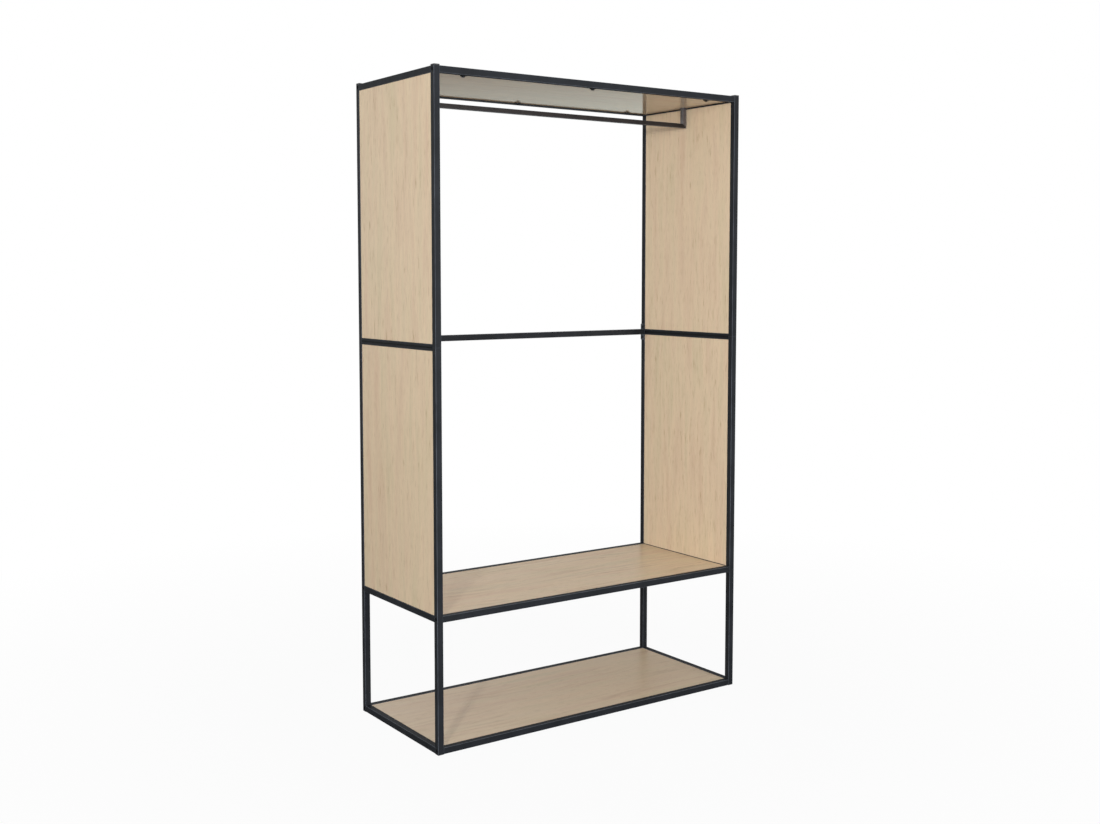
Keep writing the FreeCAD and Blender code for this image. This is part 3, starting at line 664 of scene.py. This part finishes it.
# rings from the tip of the shank, over the head and down into the key hole
def turnScrew(shape, look, seat, heading, length):
    height, straight, kind = look["headHeight"], look["straight"], look["key"]
    radius, top, shank, key = [look[part] / 2 for part in ("headWidth", "flatWidth", "shankWidth", "keyWidth")]
    headEase, keyEase, keyFloor = screwForm["headEase"], screwForm["keyEase"], height - look["keyDepth"]
    rings = [(-length, shank * screwForm["tipWidth"], "round"),
             (-length + shank * screwForm["tipLength"], shank, "round"), (0.0, shank, "round"),
             (0.0, radius - headEase, "round"), (headEase, radius, "round"), (straight, radius, "round")]
    for step in range(1, screwForm["domeSteps"] + 1):
        angle = math.pi / 2 * step / screwForm["domeSteps"]
        rise = straight + (height - straight) * math.sin(angle)
        rings.append((rise, top + (radius - top) * math.cos(angle), "round"))
    rings += [(height, key + keyEase, kind), (height - keyEase, key, kind),
              (keyFloor, key * look["keyTaper"], kind)]
    turn = heading.to_track_quat("Z", "Y").to_matrix().to_4x4()
    place = Matrix.Translation(seat) @ turn
    loops = []
    for rise, size, kindHere in rings:
        loop = []
        for step in range(look["steps"]):
            angle = 2 * math.pi * step / look["steps"]
            reach = keyRadius(kindHere, size, angle)
            loop.append(shape.verts.new(place @ Vector((reach * math.cos(angle), reach * math.sin(angle), rise))))
        loops.append(loop)
    for below, above in zip(loops, loops[1:]):
        bridge(shape, below, above)
    shape.faces.new(loops[0])
    point = shape.verts.new(place @ Vector((0, 0, keyFloor - screwForm["keyPoint"] * key)))
    for step in range(look["steps"]):
        shape.faces.new((loops[-1][step], loops[-1][(step + 1) % look["steps"]], point))


def screwSet(node, look, axis):
    shape = newShape()
    for spots in looseSpots(node):
        low, high = boxOf(spots)
        size = high - low
        middle = (low + high) / 2
        reach = {}
        for end, level in (("low", low[axis]), ("high", high[axis])):
            atEnd = [spot for spot in spots if abs(spot[axis] - level) < sameLevel]
            reach[end] = max((spot - middle).length for spot in atEnd)  # the head is the wider end
        heading = Vector((0, 0, 0))
        heading[axis] = 1.0 if reach["high"] > reach["low"] else -1.0
        top = middle.copy()
        top[axis] = high[axis] if heading[axis] > 0 else low[axis]
        seat = top - heading * look["headHeight"]
        turnScrew(shape, look, seat, heading, size[axis] - look["headHeight"])
    addPiece(node, shape, fixingSteel)


hexHead = {"shankWidth": 6 * mm, "key": "hex", "keyTaper": 1.0, "steps": 48}
crossHead = {"shankWidth": 4 * mm, "key": "cross", "keyTaper": 0.45, "steps": 48}
railBolt = dict(hexHead, headWidth=10 * mm, headHeight=5 * mm, straight=4.5 * mm, flatWidth=9.2 * mm,
                keyWidth=5.8 * mm, keyDepth=2.6 * mm)
tieBolt = dict(hexHead, headWidth=10.5 * mm, headHeight=3 * mm, straight=0.7 * mm, flatWidth=5.8 * mm,
               keyWidth=4.6 * mm, keyDepth=1.6 * mm)
spliceScrew = dict(hexHead, headWidth=9.6 * mm, headHeight=1.5 * mm, straight=1.1 * mm, flatWidth=8.8 * mm,
                   keyWidth=4.6 * mm, keyDepth=1.3 * mm)
hangerBolt = dict(hexHead, headWidth=12 * mm, headHeight=4 * mm, straight=1.2 * mm, flatWidth=6.5 * mm,
                  keyWidth=5.6 * mm, keyDepth=2.2 * mm)
panScrew = dict(crossHead, headWidth=12 * mm, headHeight=4 * mm, straight=1.2 * mm, flatWidth=6.5 * mm,
                keyWidth=5.6 * mm, keyDepth=2.4 * mm)
flatScrew = dict(crossHead, headWidth=10 * mm, headHeight=1.2 * mm, straight=0.4 * mm, flatWidth=8 * mm,
                 keyWidth=4.8 * mm, keyDepth=1.0 * mm, keyTaper=0.6)
panelScrew = dict(crossHead, headWidth=7.5 * mm, headHeight=3 * mm, straight=0.8 * mm, flatWidth=4.6 * mm,
                  keyWidth=4.0 * mm, keyDepth=1.8 * mm, steps=24)
screwSet("rail_bolts", railBolt, axis=0)
screwSet("tie_bolts", tieBolt, axis=0)
screwSet("splice_screws", spliceScrew, axis=0)
screwSet("board_screws", panScrew, axis=2)
screwSet("bottom_board_screws", flatScrew, axis=2)
screwSet("panel_screws", panelScrew, axis=2)
screwSet("hanger_bolts", hangerBolt, axis=2)
print("screws and bolts turned")

tiePlate = {"corner": 2.5 * mm, "cornerSteps": 5, "edge": 0.4 * mm}
plates = newShape()
for spots in looseSpots("tie_plates"):
    low, high = boxOf(spots)
    outline = roundedOutline(high.y - low.y, high.z - low.z, tiePlate["corner"], tiePlate["cornerSteps"])
    sweepSection(plates, setPlace("across", low, high), outline,
                 easedStations(high.x - low.x, tiePlate["edge"], tiePlate["edge"]))
addPiece("tie_plates", plates, framePaint)

lug = {"edge": 0.4 * mm, "flare": 2.2 * mm, "flareSteps": 4, "noseSteps": 20}


def lugOutline(width, reach):  # from the right of the root, round the nose and back to the left
    half, flare = width / 2, lug["flare"]
    side = []
    for step in range(lug["flareSteps"] + 1):  # a weld flares the root
        angle = math.pi / 2 * step / lug["flareSteps"]
        out = Vector((math.sin(angle), math.cos(angle)))
        side.append((Vector((half + flare, flare)) - flare * out, out * step / lug["flareSteps"], 0.0))
    side.append((Vector((half, reach - half)), Vector((1, 0)), 0.0))
    nose = []
    for step in range(1, lug["noseSteps"]):
        angle = math.pi * step / lug["noseSteps"]
        out = Vector((math.cos(angle), math.sin(angle)))
        nose.append((Vector((0, reach - half)) + half * out, out, 0.0))
    mirrored = [(Vector((-spot.x, spot.y)), Vector((-out.x, out.y)), rim) for spot, out, rim in reversed(side)]
    return side + nose + mirrored


lugs = newShape()
for spots in looseSpots("board_lugs"):
    low, high = boxOf(spots)
    isFront = low.y + high.y < 0
    root = Vector(((low.x + high.x) / 2, low.y if isFront else high.y, low.z))
    place = Matrix.Translation(root) @ Matrix.Rotation(0.0 if isFront else math.pi, 4, "Z")
    sweepSection(lugs, place, lugOutline(high.x - low.x, high.y - low.y),
                 easedStations(high.z - low.z, lug["edge"], lug["edge"]))
addPiece("board_lugs", lugs, framePaint)

# pieces that stay inside the tubes keep their solids
splices = ["%s_%s_splice" % (end, side) for end in ends for side in sides]
for node in ["rail_end_plugs", "hanger_plugs"] + splices:
    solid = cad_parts[node]
    if not solid.material_slots:
        solid.data.materials.append(plainSteel)
    for place in solid.material_slots:
        place.material = plainSteel
print("plates, lugs and inner pieces done")

studio = {
    "floorSize": 40.0, "floorDrop": 0.2 * mm, "floorTone": 0.30, "floorRough": 0.9,
    "floorShine": 0.955, "fadeFrom": 0.9, "fadeTo": 3.2,
    "mirrorSpan": (13.0, 17.5), "mirrorTint": (0.90, 1.0, 0.93, 1.0),
    "horizonLight": 0.46, "overheadLight": 0.41, "brightSide": (-0.8, -0.6, 0.0), "sideShares": (0.65, 1.35),
    # degrees from straight back towards the right, with soft edges
    "gapFrom": (30.0, 38.0), "gapTo": (75.0, 90.0), "gapRise": (0.22, 0.30), "gapDepth": 1.0,
    "lowSun": {"from": (-0.79, -0.56, 0.04), "power": 0.68, "spread": 14.0},
    "fillSun": {"from": (0.95, 0.20, 0.05), "power": 2.0, "spread": 20.0},
    "sunAway": 6.0,
    "keyLamp": {"place": (-4.3, -4.1, 1.95), "power": 495.0, "radius": 0.20},
    "frontLight": {"place": (-1.5, -3.4, 1.2), "aim": (0.0, 0.0, 1.2), "size": 1.6, "power": 56.0,
                   "tint": (0.88, 0.97, 1.20)},
    "sheenLight": {"place": (1.1, -3.4, 1.6), "aim": (-0.4, 0.0, 1.5), "size": 1.0, "power": 48.0,
                   "tint": (1.01, 0.98, 0.96)},
}


def seenRays(tree, glossy=1.0):  # 1 where a surface is seen, straight or in a reflection
    path = addNode(tree, "LightPath").outputs
    mirrored = sums(tree, "MULTIPLY", path["Is Glossy Ray"], glossy)
    seen = sums(tree, "MAXIMUM", path["Is Camera Ray"], mirrored)
    return sums(tree, "MAXIMUM", seen, path["Is Transmission Ray"])


floorMesh = bpy.data.meshes.new("studioFloor")
half, level = studio["floorSize"] / 2, -studio["floorDrop"]
corners = [(x * half, y * half, level) for x, y in ((-1, -1), (1, -1), (1, 1), (-1, 1))]
floorMesh.from_pydata(corners, [], [(0, 1, 2, 3)])
floor = bpy.data.objects.new("studioFloor", floorMesh)
bpy.context.scene.collection.objects.link(floor)
floorFinish, floorTree, floorShader = newFinish("studioFloorWhite")
floorShader.inputs["Base Color"].default_value = [studio["floorTone"]] * 3 + [1.0]
floorShader.inputs["Roughness"].default_value = studio["floorRough"]
floorShader.inputs["Specular IOR Level"].default_value = 0.0
mirrored = addNode(floorTree, "LightPath").outputs["Is Glossy Ray"]
glowTone = mixTone(floorTree, mirrored, (1, 1, 1, 1), studio["mirrorTint"])
glow = addNode(floorTree, "Emission", {"Color": glowTone, "Strength": 1.0}).outputs["Emission"]
floorSpot = addNode(floorTree, "TexCoord").outputs["Object"]
away = addNode(floorTree, "VectorMath", {0: floorSpot}, operation="LENGTH").outputs["Value"]
shine = spread(floorTree, away, studio["fadeFrom"], studio["fadeTo"], studio["floorShine"], 1.0)
# reflections show only the far floor white
mirrorShare = spread(floorTree, away, *studio["mirrorSpan"], 0.0, 1.0)
share = sums(floorTree, "MULTIPLY", seenRays(floorTree, mirrorShare), shine)
blend = addNode(floorTree, "MixShader", {0: share, 1: floorShader.outputs["BSDF"], 2: glow}).outputs["Shader"]
floorTree.links.new(blend, floorTree.nodes["Material Output"].inputs["Surface"])
floor.data.materials.append(floorFinish)

world = bpy.data.worlds.new("studioWorld")
bpy.context.scene.world = world
world.use_nodes = True
worldTree = world.node_tree
worldTree.nodes.clear()
skyway = addNode(worldTree, "TexCoord").outputs["Generated"]
way = addNode(worldTree, "SeparateXYZ", {"Vector": skyway}).outputs
strength = spread(worldTree, way["Z"], 0.0, 1.0, studio["horizonLight"], studio["overheadLight"])
toward = addNode(worldTree, "VectorMath", {0: skyway, 1: studio["brightSide"]}, operation="DOT_PRODUCT")
sideways = spread(worldTree, toward.outputs["Value"], -1.0, 1.0, *studio["sideShares"])
strength = sums(worldTree, "MULTIPLY", strength, sideways)  # the room is brighter on the key lamp's side
soft = addNode(worldTree, "Background", {"Color": (1, 1, 1, 1), "Strength": strength}).outputs["Background"]
# one dark gap in the room, seen only in reflections
turn = sums(worldTree, "ARCTAN2", way["X"], way["Y"])
gapFrom, gapTo = [[math.radians(angle) for angle in studio[edge]] for edge in ("gapFrom", "gapTo")]
opening = spread(worldTree, turn, *gapFrom, 0.0, studio["gapDepth"])
closing = spread(worldTree, turn, *gapTo, 1.0, 0.0)
raised = spread(worldTree, way["Z"], *studio["gapRise"], 0.0, 1.0)
gap = sums(worldTree, "MULTIPLY", sums(worldTree, "MULTIPLY", opening, closing), raised)
inMirror = addNode(worldTree, "LightPath").outputs["Is Glossy Ray"]
brightness = sums(worldTree, "SUBTRACT", 1.0, sums(worldTree, "MULTIPLY", gap, inMirror))
white = addNode(worldTree, "Background", {"Color": (1, 1, 1, 1), "Strength": brightness}).outputs["Background"]
both = addNode(worldTree, "MixShader", {0: seenRays(worldTree), 1: soft, 2: white}).outputs["Shader"]
addNode(worldTree, "OutputWorld", {"Surface": both})


def addLamp(name, kind, power, place, aim):
    lampData = bpy.data.lights.new(name, kind)
    lampData.energy = power
    lamp = bpy.data.objects.new(name, lampData)
    lamp.location = place
    lamp.rotation_euler = (Vector(aim) - Vector(place)).to_track_quat("-Z", "Y").to_euler()
    lamp.visible_glossy = kind == "AREA"  # suns and key lamp light without a glare spot
    lamp.visible_camera = False
    bpy.context.scene.collection.objects.link(lamp)
    return lampData


for name in ("lowSun", "fillSun"):
    sun = studio[name]
    sunData = addLamp(name, "SUN", sun["power"], Vector(sun["from"]) * studio["sunAway"], (0, 0, 0))
    sunData.angle = math.radians(sun["spread"])
keyLamp = studio["keyLamp"]
keyData = addLamp("keyLamp", "POINT", keyLamp["power"], keyLamp["place"], (0, 0, 0))
keyData.shadow_soft_size = keyLamp["radius"]
for name in ("frontLight", "sheenLight"):
    card = studio[name]
    cardData = addLamp(name, "AREA", card["power"], card["place"], card["aim"])
    cardData.size = card["size"]
    cardData.color = card["tint"]

view = {"place": (-2.5111, -3.5799, 1.4538), "yaw": 34.888, "tilt": 4.375,
        "sensor": 36.0, "lens": 42.55, "rise": -0.036}
cameraData = bpy.data.cameras.new("photoCamera")
cameraData.sensor_width = view["sensor"]
cameraData.lens = view["lens"]
cameraData.shift_y = view["rise"]
camera = bpy.data.objects.new("photoCamera", cameraData)
camera.location = view["place"]
camera.rotation_euler = (math.radians(90 - view["tilt"]), 0.0, -math.radians(view["yaw"]))
bpy.context.scene.collection.objects.link(camera)
bpy.context.scene.camera = camera
bpy.context.scene.view_settings.view_transform = "Standard"
print("studio set")
